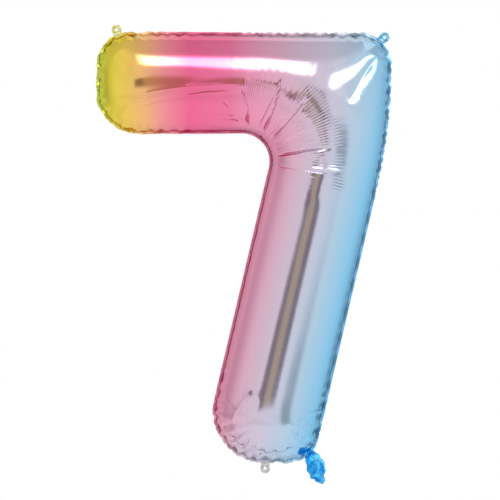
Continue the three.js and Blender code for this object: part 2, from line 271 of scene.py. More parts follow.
# ---------------------------------------------------------------- film
# Two plies of metallised plastic film, cut flat in the shape of the figure and sealed to each
# other all round. Filled with gas they swell to a smooth round section, and the spare length of
# the seam gathers into small puckers round the ends and into creases round the bend.
SEAM_INSET = 0.0053
BAR_HEIGHT = 0.202 - 2 * SEAM_INSET
LEG_WIDTH = 0.220 - 2 * SEAM_INSET
LEG_LEAN = math.radians(13.2)
HIP_DROP = 0.1811
BAR_TOP_RADIUS, CORNER_RADIUS, HIP_RADIUS = 0.0647, 0.0627, 0.9947
FOOT_RIGHT_RADIUS, FOOT_LEFT_RADIUS = 0.0607, 0.0987
INNER_BEND_RADIUS, BAR_BOTTOM_RADIUS = 0.0613, 0.0787
FULLNESS = 0.95
BEND_RIDGE_OUT = 0.026
BEND_EXTRA_DEPTH = 0.020
BAR_SLIMMING, LEG_SLIMMING, SLIMMING_LENGTH = 0.11, 0.02, 0.150
PATTERN_STEP = 0.0052
BEND_STEP = 0.0028


def turned(vectors, angle):
    cos, sin = math.cos(angle), math.sin(angle)
    return np.stack([vectors[..., 0] * cos - vectors[..., 1] * sin,
                     vectors[..., 0] * sin + vectors[..., 1] * cos], -1)


seam_low, seam_high = (np.array((corner.x, corner.z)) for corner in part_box("front_film"))
leg_down = np.array((-math.sin(LEG_LEAN), -math.cos(LEG_LEAN)))
leg_across = np.array((math.cos(LEG_LEAN), -math.sin(LEG_LEAN)))
hip = np.array((seam_high[0], seam_high[1] - HIP_DROP))


def leg_side(height, inwards):
    start = hip - leg_across * inwards
    return start + leg_down * (height - start[1]) / leg_down[1]


bar_bottom = seam_high[1] - BAR_HEIGHT
corners = [
    (np.array((seam_low[0], seam_high[1])), BAR_TOP_RADIUS),
    (seam_high, CORNER_RADIUS),
    (hip, HIP_RADIUS),
    (leg_side(seam_low[1], 0), FOOT_RIGHT_RADIUS),
    (leg_side(seam_low[1], LEG_WIDTH), FOOT_LEFT_RADIUS),
    (leg_side(bar_bottom, LEG_WIDTH), INNER_BEND_RADIUS),
    (np.array((seam_low[0], bar_bottom)), BAR_BOTTOM_RADIUS),
]
seam_outline = []
arc_centres = []
for at, (corner, radius) in enumerate(corners):
    came = corner - corners[at - 1][0]
    goes = corners[(at + 1) % len(corners)][0] - corner
    came, goes = came / np.linalg.norm(came), goes / np.linalg.norm(goes)
    turn = math.atan2(came[0] * goes[1] - came[1] * goes[0], came @ goes)
    inward = turned(came, math.copysign(math.pi / 2, turn)) * radius
    centre = corner - came * radius * math.tan(abs(turn) / 2) + inward
    arc_centres.append(centre)
    steps = math.ceil(abs(turn) / math.radians(3))
    seam_outline += [centre + turned(-inward, turn * step / steps) for step in range(steps + 1)]
seam_outline = np.array(seam_outline)
seam_edges = np.roll(seam_outline, -1, 0) - seam_outline


def room_to_seam(points, ways):
    """How far it is from each point, going its way, to the seam."""
    to_edge = seam_outline[None] - points[:, None]
    slope = ways[:, None, 0] * seam_edges[None, :, 1] - ways[:, None, 1] * seam_edges[None, :, 0]
    slope = np.where(abs(slope) < 1e-12, 1e-12, slope)
    along = (to_edge[..., 0] * seam_edges[None, :, 1] - to_edge[..., 1] * seam_edges[None, :, 0]) / slope
    share = (to_edge[..., 0] * ways[:, None, 1] - to_edge[..., 1] * ways[:, None, 0]) / slope
    hit = (along > 0) & (share >= -1e-9) & (share <= 1 + 1e-9)
    return np.where(hit, along, np.inf).min(1)


def quarter_length(width, depth):
    """The length of a quarter of an ellipse."""
    return math.pi * (3 * (width + depth) - np.sqrt((3 * width + depth) * (width + 3 * depth))) / 4


bend_centre = arc_centres[5]
bar_depth, leg_depth = FULLNESS * BAR_HEIGHT / 2, FULLNESS * LEG_WIDTH / 2
sweep = math.pi / 2 + LEG_LEAN
bar_middle = seam_high[1] - BAR_HEIGHT / 2
bar_end = np.array((seam_low[0] + BAR_HEIGHT / 2, bar_middle))
leg_top = bend_centre + leg_across * (INNER_BEND_RADIUS + LEG_WIDTH / 2)
leg_length = (seam_low[1] + LEG_WIDTH / 2 - leg_top[1]) / leg_down[1]
foot_end = leg_top + leg_down * leg_length


def bend_section(share):
    """Outward way, ridge radius, depth and ridge point at a share of the way round the bend."""
    way = np.stack([np.sin(share * sweep), np.cos(share * sweep)], -1)
    swell = np.sin(math.pi * share) ** 2
    half = (BAR_HEIGHT * (1 - share) + LEG_WIDTH * share) / 2
    radius = INNER_BEND_RADIUS + half + BEND_RIDGE_OUT * swell
    depth = bar_depth * (1 - share) + leg_depth * share + BEND_EXTRA_DEPTH * swell
    return way, radius, depth, bend_centre + way * radius[..., None]


bar_quarter = quarter_length(BAR_HEIGHT / 2, bar_depth)
leg_quarter = quarter_length(LEG_WIDTH / 2, leg_depth)
flat_bar_end = np.array((bar_end[0], bar_bottom + bar_quarter))
flat_leg_middle = INNER_BEND_RADIUS + leg_quarter
flat_foot_end = bend_centre + leg_across * flat_leg_middle + leg_down * leg_length


def cap_points(centre, ridge, first_way, depth):
    ways = np.stack([turned(first_way, -math.pi * step / 60) for step in range(1, 60)])
    reach = room_to_seam(np.repeat(ridge[None], len(ways), 0), ways)
    return centre + ways * quarter_length(reach, depth)[:, None]


def flat_outline():
    """The cut line of one ply: the seam as it lay before the balloon was filled."""
    share = np.linspace(0, 1, 80)
    way, radius, depth, ridge = bend_section(share)
    outer = INNER_BEND_RADIUS + quarter_length(radius - INNER_BEND_RADIUS, depth)
    outer = outer + quarter_length(room_to_seam(ridge, way), depth)
    return np.vstack([
        cap_points(flat_bar_end, bar_end, np.array((0, -1.0)), bar_depth),
        [flat_bar_end + (0, bar_quarter)],
        bend_centre + way * outer[:, None],
        [flat_foot_end + leg_across * leg_quarter],
        cap_points(flat_foot_end, foot_end, leg_across, leg_depth),
        [flat_foot_end - leg_across * leg_quarter],
        (bend_centre + way * INNER_BEND_RADIUS)[::-1],
        [(bar_end[0], bar_bottom)],
    ])


def evenly_spaced(loop, step):
    closed = np.vstack([loop, loop[:1]])
    run = np.concatenate([[0], np.cumsum(np.linalg.norm(np.diff(closed, axis=0), axis=1))])
    count = int(run[-1] / step)
    at = np.arange(count) * run[-1] / count
    return np.stack([np.interp(at, run, closed[:, 0]), np.interp(at, run, closed[:, 1])], 1)


def hexagonal(low, high, step):
    rows = []
    for row, height in enumerate(np.arange(low[1], high[1], step * math.sqrt(3) / 2)):
        x = np.arange(low[0] - step / 2 * (row % 2), high[0], step)
        rows.append(np.stack([x, np.full(len(x), height)], 1))
    return np.vstack(rows)


def inside(points, loop):
    odd = np.zeros(len(points), bool)
    for here, there in zip(loop, np.roll(loop, -1, 0)):
        if here[1] == there[1]:
            continue
        crosses = (here[1] > points[:, 1]) != (there[1] > points[:, 1])
        edge = (there[0] - here[0]) * (points[:, 1] - here[1]) / (there[1] - here[1]) + here[0]
        odd ^= crosses & (points[:, 0] < edge)
    return odd


def clear_of(points, loop, gap):
    tree = KDTree(len(loop))
    for at, (x, z) in enumerate(loop):
        tree.insert((x, z, 0), at)
    tree.balance()
    return np.array([tree.find((x, z, 0))[2] > gap for x, z in points])


def near_bend(points):
    """Where the pattern is cut finely, round the inside of the bend."""
    away = points - bend_centre
    radius = np.linalg.norm(away, axis=1)
    angle = np.arctan2(away[:, 0], away[:, 1])
    return (radius < 0.222) & (angle > math.radians(-30)) & (angle < sweep + math.radians(12))


cut_line = evenly_spaced(flat_outline(), PATTERN_STEP)
low, high = cut_line.min(0), cut_line.max(0)
coarse = hexagonal(low, high, PATTERN_STEP)
coarse = coarse[inside(coarse, cut_line) & ~near_bend(coarse)]
fine = hexagonal(low, high, BEND_STEP)
fine = fine[near_bend(fine)]
fine = fine[inside(fine, cut_line)]
inner = np.vstack([coarse, fine])
inner = inner[clear_of(inner, cut_line, 0.6 * PATTERN_STEP)]
pattern = np.vstack([cut_line, inner])
seam_count = len(cut_line)
outline_edges = [(at, (at + 1) % seam_count) for at in range(seam_count)]
meshed = delaunay_2d_cdt([Vector(point) for point in pattern], outline_edges, [], 1, 1e-7)
pattern = np.array([(point.x, point.y) for point in meshed[0]])
ply_faces = np.array(meshed[2])
first, second, third = (pattern[ply_faces[:, corner]] for corner in range(3))
lies_up = np.cross(second - first, third - first) > 0
ply_faces = np.where(lies_up[:, None], ply_faces, ply_faces[:, ::-1])


def eased(value, low, high):
    share = np.clip((value - low) / (high - low), 0, 1)
    return share * share * (3 - 2 * share)


def filled_shape(points):
    """Where each point of the flat pattern lies on the full balloon's front, as x, y and z."""
    count = len(points)
    ridge, way = np.zeros((count, 2)), np.zeros((count, 2))
    width, depth, share = np.zeros(count), np.zeros(count), np.zeros(count)
    away = points - bend_centre
    along, across_leg = away @ leg_down, away @ leg_across
    on_leg = (along >= 0) & (across_leg > 0)
    on_bar = ~on_leg & (away[:, 0] <= 0)
    bar = np.where(on_bar & (points[:, 0] >= bar_end[0]))[0]
    height = points[bar, 1] - flat_bar_end[1]
    ridge[bar] = np.stack([points[bar, 0], np.full(len(bar), bar_middle)], 1)
    way[bar, 1] = np.where(height >= 0, 1, -1)
    slim = 1 - BAR_SLIMMING * points[bar, 0] / bar_end[0]
    width[bar], depth[bar], share[bar] = BAR_HEIGHT / 2, bar_depth * slim, abs(height) / bar_quarter
    leg = np.where(on_leg & (along <= leg_length))[0]
    off = across_leg[leg] - flat_leg_middle
    ridge[leg] = leg_top + along[leg, None] * leg_down
    way[leg] = np.where(off >= 0, 1, -1)[:, None] * leg_across
    slim = 1 - LEG_SLIMMING * eased(along[leg], leg_length - SLIMMING_LENGTH, leg_length)
    width[leg], depth[leg], share[leg] = LEG_WIDTH / 2, leg_depth * slim, abs(off) / leg_quarter
    bar_cap = on_bar & (points[:, 0] < bar_end[0])
    leg_cap = on_leg & (along > leg_length)
    ends = ((bar_cap, flat_bar_end, bar_end, bar_depth * (1 - BAR_SLIMMING)),
            (leg_cap, flat_foot_end, foot_end, leg_depth * (1 - LEG_SLIMMING)))
    for cap, flat_end, end, end_depth in ends:
        cap = np.where(cap)[0]
        out = points[cap] - flat_end
        length = np.linalg.norm(out, axis=1) + 1e-12
        ridge[cap], way[cap] = end, out / length[:, None]
        width[cap], depth[cap] = room_to_seam(ridge[cap], way[cap]), end_depth
        share[cap] = length / quarter_length(width[cap], end_depth)
    bend = np.where(~on_leg & ~on_bar)[0]
    turn = np.clip(np.arctan2(away[bend, 0], away[bend, 1]) / sweep, 0, 1)
    out_way, radius, bend_depth, ridge[bend] = bend_section(turn)
    inner_width = radius - INNER_BEND_RADIUS
    outer_width = room_to_seam(ridge[bend], out_way)
    inner_quarter = quarter_length(inner_width, bend_depth)
    off = np.linalg.norm(away[bend], axis=1) - INNER_BEND_RADIUS - inner_quarter
    outside = off >= 0
    way[bend] = np.where(outside[:, None], out_way, -out_way)
    width[bend], depth[bend] = np.where(outside, outer_width, inner_width), bend_depth
    share[bend] = abs(off) / np.where(outside, quarter_length(outer_width, bend_depth), inner_quarter)
    share = np.clip(share, 0, 1)
    share[:seam_count] = 1
    turns = np.linspace(0, math.pi / 2, 33)
    arc_out, arc_up = width[:, None] * np.sin(turns), depth[:, None] * np.cos(turns)
    run = np.cumsum(np.hypot(np.diff(arc_out, axis=1), np.diff(arc_up, axis=1)), axis=1)
    run = np.concatenate([np.zeros((count, 1)), run / run[:, -1:]], 1)
    angle = np.array([np.interp(one, arc, turns) for one, arc in zip(share, run)])
    place = ridge + way * (width * np.sin(angle))[:, None]
    swell = depth * np.cos(angle)
    swell[:seam_count] = 0
    return np.stack([place[:, 0], -swell, place[:, 1]], 1), share


front, share_out = filled_shape(pattern)
rear = front[seam_count:] * (1, -1, 1)
smooth_shape = np.vstack([front, rear])
share_out = np.concatenate([share_out, share_out[seam_count:]])
flat_shape = np.vstack([pattern, pattern[seam_count:]])
rear_faces = np.where(ply_faces < seam_count, ply_faces, ply_faces + len(front) - seam_count)
film_faces = np.vstack([ply_faces, rear_faces[:, ::-1]])
point_count = len(smooth_shape)


# The straight lengths and the round ends run into each other without a step.
EASING_ROUNDS = 90
links = np.vstack([film_faces[:, [0, 1]], film_faces[:, [1, 2]], film_faces[:, [2, 0]]])
link_count = np.bincount(links[:, 0], minlength=point_count)[:, None]
free = (0.5 * (1 - share_out ** 6))[:, None]
for again in range(EASING_ROUNDS):
    ends = smooth_shape[links[:, 1]]
    middle = np.stack([np.bincount(links[:, 0], ends[:, axis], point_count) for axis in range(3)], 1)
    smooth_shape = smooth_shape + (middle / link_count - smooth_shape) * free

FILL_STEPS = 400
FILL_PRESSURE = 3e-6
FILL_DRAG = 0.97
FLAT_SHARE = 0.6
STIFFNESS = 0.03
HOLD = 0.001
UNEVENNESS = 0.0003
MOST_MOVE = 0.009


def edges_and_opposites(faces):
    """Each edge once, and for each inner edge the two points across it."""
    edges = np.sort(np.vstack([faces[:, [0, 1]], faces[:, [1, 2]], faces[:, [2, 0]]]), 1)
    opposite = np.concatenate([faces[:, 2], faces[:, 0], faces[:, 1]])
    order = np.lexsort((edges[:, 1], edges[:, 0]))
    edges, opposite = edges[order], opposite[order]
    starts = np.concatenate([[True], (edges[1:] != edges[:-1]).any(1)])
    at = np.where(starts)[0]
    across_seam = (edges[at] < seam_count).all(1)
    return edges[at], np.stack([opposite[at], opposite[at + 1]], 1)[~across_seam]


def gathered(points, moves):
    return np.stack([np.bincount(points, moves[:, axis], point_count) for axis in range(3)], 1)


def fill_with_gas():
    """Inflates the two sealed plies: gas pushes outwards, and the film bends but hardly stretches."""
    edges, opposites = edges_and_opposites(film_faces)

    def rest_length(pairs):
        flat = np.linalg.norm(flat_shape[pairs[:, 0]] - flat_shape[pairs[:, 1]], axis=1)
        full = np.linalg.norm(smooth_shape[pairs[:, 0]] - smooth_shape[pairs[:, 1]], axis=1)
        return flat * FLAT_SHARE + full * (1 - FLAT_SHARE)

    edge_rest, bend_rest = rest_length(edges), rest_length(opposites)
    edge_uses = np.bincount(edges.ravel(), minlength=point_count)[:, None]
    bend_uses = np.maximum(np.bincount(opposites.ravel(), minlength=point_count), 1)[:, None]
    nominal_area = PATTERN_STEP ** 2 * math.sqrt(3) / 2
    random = np.random.default_rng(7)
    place = smooth_shape + random.normal(0, UNEVENNESS, smooth_shape.shape)
    speed = np.zeros_like(place)
    for step in range(FILL_STEPS):
        first = place[film_faces[:, 0]]
        push = np.cross(place[film_faces[:, 1]] - first, place[film_faces[:, 2]] - first) / 6
        push = gathered(film_faces.ravel(), np.repeat(push, 3, 0)) / nominal_area
        before = place
        speed = (speed + push * FILL_PRESSURE) * FILL_DRAG
        place = place + speed
        place = place + (smooth_shape - place) * HOLD
        for again in range(2):
            gap = place[edges[:, 1]] - place[edges[:, 0]]
            length = np.sqrt((gap * gap).sum(1))
            move = gap * (0.5 * (length - edge_rest) / (length + 1e-12))[:, None]
            place = place + gathered(edges.T.ravel(), np.vstack([move, -move])) * 2.8 / edge_uses
        gap = place[opposites[:, 1]] - place[opposites[:, 0]]
        length = np.sqrt((gap * gap).sum(1))
        move = gap * (0.5 * np.minimum(length - bend_rest, 0) / (length + 1e-12))[:, None]
        move = gathered(opposites.T.ravel(), np.vstack([move, -move]))
        place = place + move * 2 * STIFFNESS / bend_uses
        speed = place - before
    return place - smooth_shape


# What share of the film's move is used: most along the seam, hardly any over the rest.
GATHER_START, GATHER_FULL = 0.78, 0.96
GATHER_ELSEWHERE = 0.02
INNER_BEND_GATHER = 0.07
SEAM_GATHER = 0.42


film_shape = smooth_shape.copy()
move = fill_with_gas()
length = np.linalg.norm(move, axis=1, keepdims=True)
move = move * np.minimum(1, MOST_MOVE / (length + 1e-12))
away = smooth_shape[:, [0, 2]] - bend_centre
around = np.arctan2(away[:, 0], away[:, 1])
radius = np.linalg.norm(away, axis=1)
in_bend = eased(around, -0.5, 0.0) * (1 - eased(around, sweep, sweep + 0.4))
in_bend *= 1 - eased(radius, 0.15, 0.19)
amount = GATHER_ELSEWHERE + (INNER_BEND_GATHER - GATHER_ELSEWHERE) * in_bend
amount = np.maximum(amount, SEAM_GATHER * eased(share_out, GATHER_START, GATHER_FULL))
film_shape = smooth_shape + move * amount[:, None]


# Between the tucks of the seam the film bulges out over the rim in small round lobes, deepest
# round the two ends and the outer corner.
LOBE_LENGTH = 0.025
LOBE_HEIGHT = 0.0030
LOBE_ON_STRAIGHTS = 0.16
ROUND_ENDS = [  # where the lobes are deep: x, z and radius
    (-0.240, -0.100, 0.135), (0.235, -0.060, 0.085), (0.030, -0.800, 0.130),
]


def outward_ways(loop):
    """The outward way, in the balloon's flat plane, at each point of a clockwise loop."""
    run = np.roll(loop, -1, 0) - np.roll(loop, 1, 0)
    for again in range(6):
        run = (np.roll(run, 1, 0) + 2 * run + np.roll(run, -1, 0)) / 4
    run = run / np.linalg.norm(run, axis=1, keepdims=True)
    return np.stack([-run[:, 1], run[:, 0]], 1)


seam_loop = smooth_shape[:seam_count, [0, 2]]
seam_step = np.linalg.norm(np.roll(seam_loop, -1, 0) - seam_loop, axis=1)
seam_run = np.concatenate([[0], np.cumsum(seam_step)[:-1]])
seam_turns = seam_run / seam_step.sum() * 2 * math.pi
lobe_count = round(seam_step.sum() / LOBE_LENGTH)
lobe_phase = seam_turns * lobe_count + 1.3 * np.sin(seam_turns * 9) + 0.8 * np.sin(seam_turns * 23)
lobe_height = np.full(seam_count, LOBE_ON_STRAIGHTS)
for x, z, radius in ROUND_ENDS:
    far = np.hypot(seam_loop[:, 0] - x, seam_loop[:, 1] - z)
    lobe_height = np.maximum(lobe_height, 1 - eased(far, radius, radius * 1.35))
lobe_height *= eased(np.hypot(*(seam_loop - bend_centre).T), 0.08, 0.14)
seam_out = outward_ways(seam_loop)
seam_tree = KDTree(seam_count)
for at, (x, z) in enumerate(seam_loop):
    seam_tree.insert((x, 0, z), at)
seam_tree.balance()
edge_points = np.where(share_out > 0.6)[0]
nearest = np.array([seam_tree.find((smooth_shape[at, 0], 0, smooth_shape[at, 2]))[1] for at in edge_points])
lobe = np.cos(lobe_phase / 2)[nearest] ** 2
over_rim = eased(share_out[edge_points], 0.66, 0.93) * (1 - 0.75 * eased(share_out[edge_points], 0.96, 1.0))
bulge = (lobe - 0.45) * lobe_height[nearest] * LOBE_HEIGHT * over_rim
film_shape[edge_points, 0] += seam_out[nearest, 0] * bulge
film_shape[edge_points, 2] += seam_out[nearest, 1] * bulge


def finer(points, faces):
    """Each triangle cut in four and the points eased on to a smooth surface, by Loop's rule."""
    directed = np.vstack([faces[:, [0, 1]], faces[:, [1, 2]], faces[:, [2, 0]]])
    opposite = np.concatenate([faces[:, 2], faces[:, 0], faces[:, 1]])
    names, which = np.unique(directed.min(1) * len(points) + directed.max(1), return_inverse=True)
    edges = np.stack([names // len(points), names % len(points)], 1)

    def total(at, values, count):
        return np.stack([np.bincount(at, values[:, axis], count) for axis in range(3)], 1)

    middles = points[edges].sum(1) * 3 / 8 + total(which, points[opposite], len(edges)) / 8
    uses = np.bincount(edges.ravel(), minlength=len(points))[:, None]
    neighbours = total(edges.ravel(), points[edges[:, ::-1].ravel()], len(points))
    pull = np.where(uses == 3, 3 / 16, 3 / (8 * uses))
    moved = points * (1 - uses * pull) + neighbours * pull
    middle = which.reshape(3, -1).T + len(points)
    cut = [np.stack([faces[:, at], middle[:, at], middle[:, at - 1]], 1) for at in range(3)]
    return np.vstack([moved, middles]), np.vstack([*cut, middle])


place, faces = finer(film_shape, film_faces)
film_mesh = bpy.data.meshes.new("film")
film_mesh.from_pydata(place.tolist(), [], faces.tolist())
film_mesh.shade_smooth()
film = bpy.data.objects.new("film", film_mesh)
bpy.context.scene.collection.objects.link(film)

# Folds round the bend, as degrees from straight up about its centre where each starts and ends,
# its radii there, its depth and its half width.
BEND_FOLDS = [
    (-17, 0.122, -8, 0.082, 0.0018, 0.0020),
    (-12, 0.108, -4, 0.078, 0.0014, 0.0016),
    (1, 0.136, 13, 0.066, 0.0028, 0.0022),
    (27, 0.170, 38, 0.060, 0.0040, 0.0024),
    (47, 0.172, 54, 0.066, 0.0040, 0.0024),
    (66, 0.150, 68, 0.090, 0.0014, 0.0020),
    (83, 0.170, 82, 0.068, 0.0036, 0.0024),
    (97, 0.192, 97, 0.126, -0.0030, 0.0026),
]
# Patches of fine pleats: degrees from and to, radii from and to.
PLEATS = [
    (0, 36, 0.112, 0.158),
    (40, 84, 0.160, 0.176),
    (40, 84, 0.183, 0.199),
    (85, 98, 0.150, 0.196),
    (99, 109, 0.168, 0.214),
]
# Folds elsewhere: the points they run through as x and z, depth and half width. A fold of less
# than no depth stands up as a ridge.
LONG_FOLDS = [
    ([(-0.247, -0.150), (-0.200, -0.124), (-0.120, -0.111), (-0.012, -0.106)], -0.0010, 0.0030),
    ([(-0.243, -0.160), (-0.170, -0.134), (-0.090, -0.121), (-0.022, -0.118)], 0.0012, 0.0026),
    ([(-0.200, -0.178), (-0.120, -0.168), (-0.010, -0.170)], 0.0012, 0.0040),
    ([(-0.306, -0.109), (-0.286, -0.107)], 0.0015, 0.0016),
    ([(-0.232, -0.172), (-0.222, -0.192)], 0.0012, 0.0020),
    ([(0.254, -0.046), (0.222, -0.094), (0.190, -0.152)], 0.0060, 0.0130),
    ([(0.245, -0.046), (0.264, -0.047)], 0.0012, 0.0016),
    ([(-0.068, -0.724), (-0.030, -0.746)], 0.0020, 0.0020),
    ([(-0.042, -0.792), (-0.030, -0.756), (-0.010, -0.726), (0.004, -0.690)], -0.0040, 0.0060),
    ([(-0.022, -0.790), (-0.004, -0.752), (0.010, -0.716)], 0.0030, 0.0050),
    ([(0.106, -0.756), (0.152, -0.752)], 0.0020, 0.0020),
    ([(0.101, -0.762), (0.096, -0.814)], 0.0024, 0.0040),
    ([(-0.050, -0.796), (-0.028, -0.816), (-0.008, -0.834)], 0.0026, 0.0036),
    ([(-0.036, -0.782), (-0.012, -0.806)], -0.0018, 0.0036),
    ([(-0.006, -0.822), (0.030, -0.838), (0.062, -0.836), (0.100, -0.822)], 0.0026, 0.0040),
    ([(0.038, -0.838), (0.040, -0.854)], 0.0016, 0.0020),
    ([(0.004, -0.818), (0.034, -0.826)], -0.0014, 0.0040),
]
PLEAT_PITCH = math.radians(1.75)
PLEAT_HEIGHT = 0.00048
PLEAT_EDGE, PLEAT_FADE = 0.006, 4
FACET_HEIGHT = 0.0034
FACET_LINES = (2.0, 27.0, 48.0, 83.0, 100.0)

count = len(place)
normals = np.zeros(count * 3)
film_mesh.vertices.foreach_get("normal", normals)
normals = normals.reshape(-1, 3)
away = place[:, [0, 2]] - bend_centre
radius = np.linalg.norm(away, axis=1)
around = np.degrees(np.arctan2(away[:, 0], away[:, 1]))
lift = np.zeros(count)
for start, start_radius, end, end_radius, depth, half_width in BEND_FOLDS:
    share = (start_radius - radius) / (start_radius - end_radius)
    line = start + (end - start) * np.clip(share, 0, 1)
    off = np.radians(around - line) * radius
    fade = eased(share, -0.12, 0.15) * (1 - eased(share, 0.8, 1.1))
    lift -= depth * np.exp(-abs(off) / half_width) * fade
flat_place = place[:, [0, 2]]
for points, depth, half_width in LONG_FOLDS:
    points = np.array(points)
    lengths = np.linalg.norm(np.diff(points, axis=0), axis=1)
    nearest = np.full(count, np.inf)
    share = np.zeros(count)
    for at, (here, there) in enumerate(zip(points[:-1], points[1:])):
        along = np.clip((flat_place - here) @ (there - here) / lengths[at] ** 2, 0, 1)
        off = np.linalg.norm(flat_place - here - along[:, None] * (there - here), axis=1)
        closer = off < nearest
        nearest[closer] = off[closer]
        share[closer] = ((lengths[:at].sum() + along * lengths[at]) / lengths.sum())[closer]
    lift -= depth * np.exp(-nearest / half_width) * eased(share, 0, 0.25) * (1 - eased(share, 0.75, 1))
for start, end, low_radius, high_radius in PLEATS:
    fade = eased(around, start, start + PLEAT_FADE) * (1 - eased(around, end - PLEAT_FADE, end))
    fade *= eased(radius, low_radius - PLEAT_EDGE, low_radius + PLEAT_EDGE)
    fade *= 1 - eased(radius, high_radius - PLEAT_EDGE, high_radius + PLEAT_EDGE)
    lift += PLEAT_HEIGHT * np.cos(np.radians(around) * 2 * math.pi / PLEAT_PITCH) * fade
for start, end in zip(FACET_LINES[:-1], FACET_LINES[1:]):
    share = np.clip((around - start) / (end - start), 0, 1)
    window = eased(radius, 0.064, 0.09) * (1 - eased(radius, 0.148, 0.172))
    inside_facet = (around > start) & (around < end)
    lift += np.where(inside_facet, FACET_HEIGHT * (0.5 - share), 0) * window * eased(share, 0, 0.12)
# Round the foot the film lies in flat facets, one to each lobe of its edge.
FOOT_FACET = math.radians(17)
FOOT_FACET_HEIGHT = 0.0050
foot_away = flat_place - foot_end
foot_radius = np.linalg.norm(foot_away, axis=1)
foot_turn = np.arctan2(foot_away @ leg_across, foot_away @ leg_down)
uneven = foot_turn + 0.10 * np.sin(foot_turn * 3.1 + 0.6)
facet = abs(uneven / FOOT_FACET % 1 - 0.5) * 2
fade = eased(foot_radius, 0.052, 0.082) * (1 - eased(foot_radius, 0.094, 0.104))
fade = fade * (1 - eased(abs(foot_turn), math.radians(68), math.radians(88)))
lift -= FOOT_FACET_HEIGHT * (1 - facet) ** 2 * fade
place += normals * lift[:, None]
film_mesh.vertices.foreach_set("co", place.ravel())
film_mesh.update()


def from_hex(code):
    """A colour given as it looks, turned to the linear values that a shader takes."""
    parts = [int(code[at:at + 2], 16) / 255 for at in (1, 3, 5)]
    return tuple(((part + 0.055) / 1.055) ** 2.4 if part > 0.04 else part / 12.92 for part in parts)


# The print runs from yellow at the bar's end through pink and silver to blue. Places are metres
# along the bar, and down the leg it runs across from edge to edge.
PRINT = [
    (-0.307, "#CFE05A"), (-0.285, "#E6DC48"), (-0.250, "#F2CF5C"), (-0.205, "#F6B982"),
    (-0.165, "#F7909F"), (-0.120, "#F56F9A"), (-0.040, "#F27FA6"), (0.010, "#EBA6C0"),
    (0.065, "#DAC2D4"), (0.120, "#CFCEE0"), (0.175, "#B4D3E8"), (0.225, "#8CCFF4"), (0.285, "#52B4EE"),
]
LEG_PRINT_START = -0.012
LEG_PRINT_STRETCH = 1.22
PRINT_TURN_START, PRINT_TURN_END = -0.15, 0.75


def printed_colour(shader):
    spot = shader.node("ShaderNodeTexCoord").outputs["Object"]
    x, y, z = shader.parts(spot)
    edge = leg_side(0.0, LEG_WIDTH)
    across_leg = (x - float(edge[0])) * float(leg_across[0]) + (z - float(edge[1])) * float(leg_across[1])
    on_leg = LEG_PRINT_START + across_leg * LEG_PRINT_STRETCH
    half_way = (math.sin(sweep / 2), math.cos(sweep / 2))
    right, high = x - float(bend_centre[0]), z - float(bend_centre[1])
    sideways = right * half_way[1] - high * half_way[0]
    turn = sideways.math("ARCTAN2", right * half_way[0] + high * half_way[1]) / (sweep / 2)
    share = turn.rise(PRINT_TURN_START - 1, PRINT_TURN_END)
    run = x * (1 - share) + on_leg * share
    first, last = PRINT[0][0], PRINT[-1][0]
    stops = [((at - first) / (last - first), from_hex(code)) for at, code in PRINT]
    ramp = shader.node("ShaderNodeValToRGB", {"stops": stops}, {0: (run - first) / (last - first)})
    return spot, ramp.outputs[0]


def foil(name, roughness, unshaded_share=1.0):
    """Printed metallised film: a mirror under coloured ink, with a faint crinkle. Below an unshaded share
    of one, its colour is mixed toward dark mauve as painted shade.
    """
    made = bpy.data.materials.new(name)
    shader = Shader(made)
    spot, colour = printed_colour(shader)
    # Mixing the print toward dark mauve paints shade on the film; at a share of one there is none.
    colour = shader.mix(unshaded_share, from_hex("#6B2F4A"), colour)
    crinkle = shader.node("ShaderNodeTexNoise", inputs={"Vector": spot, "Scale": 38.0, "Detail": 2.0})
    relief = shader.node("ShaderNodeBump", inputs={"Height": crinkle.outputs[0], "Strength": 0.05,
                                                   "Distance": 0.002})
    haze = Number(shader, crinkle.outputs[0]) * 0.05 + (roughness - 0.025)
    surface = shader.node("ShaderNodeBsdfPrincipled", inputs={
        "Base Color": colour, "Metallic": 1.0, "Roughness": haze, "Normal": relief.outputs[0],
        "Specular Tint": (0.55, 0.55, 0.55, 1.0)})
    shader.node("ShaderNodeOutputMaterial", inputs={"Surface": surface.outputs[0]})
    return made


film_foil = foil("printed_foil", 0.13)
film.data.materials.append(film_foil)
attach(film, "balloon")
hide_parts("front_film", "rear_film")


# ---------------------------------------------------------------- sealed rim
# Outside the seam the two plies lie welded to each other in a narrow flat margin, the cut edge
# of the film. It is longer than the puckered seam, so it ripples to and fro.
RIM_WIDTH = 0.005
RIM_THICKNESS = 0.00045
RIM_TUCK = 0.0012
RIPPLE_HEIGHT = 0.0016
RIM_RINGS = 5


seam_loop = film_shape[:seam_count]
flat_loop = seam_loop[:, [0, 2]]
outward = outward_ways(flat_loop)
ripple = np.sin(lobe_phase / 2) * (0.5 + 0.5 * lobe_height)
rings = []
for face in (-1, 1):
    for step in range(RIM_RINGS):
        share = step / (RIM_RINGS - 1)
        reach = -RIM_TUCK + (RIM_WIDTH + RIM_TUCK) * share
        flat_ring = flat_loop + outward * reach
        sway = seam_loop[:, 1] + ripple * RIPPLE_HEIGHT * share ** 1.5 + face * RIM_THICKNESS / 2
        rings.append(np.stack([flat_ring[:, 0], sway, flat_ring[:, 1]], 1))
rings = rings[:RIM_RINGS] + rings[RIM_RINGS:][::-1]
length = len(seam_loop)
rim_faces = [
    (ring * length + at, ring * length + (at + 1) % length,
     (ring + 1) % len(rings) * length + (at + 1) % length, (ring + 1) % len(rings) * length + at)
    for ring in range(len(rings)) for at in range(length)
]
rim_mesh = bpy.data.meshes.new("welded_rim")
rim_mesh.from_pydata(np.vstack(rings).tolist(), [], rim_faces)
rim = bpy.data.objects.new("welded_rim", rim_mesh)
bpy.context.scene.collection.objects.link(rim)


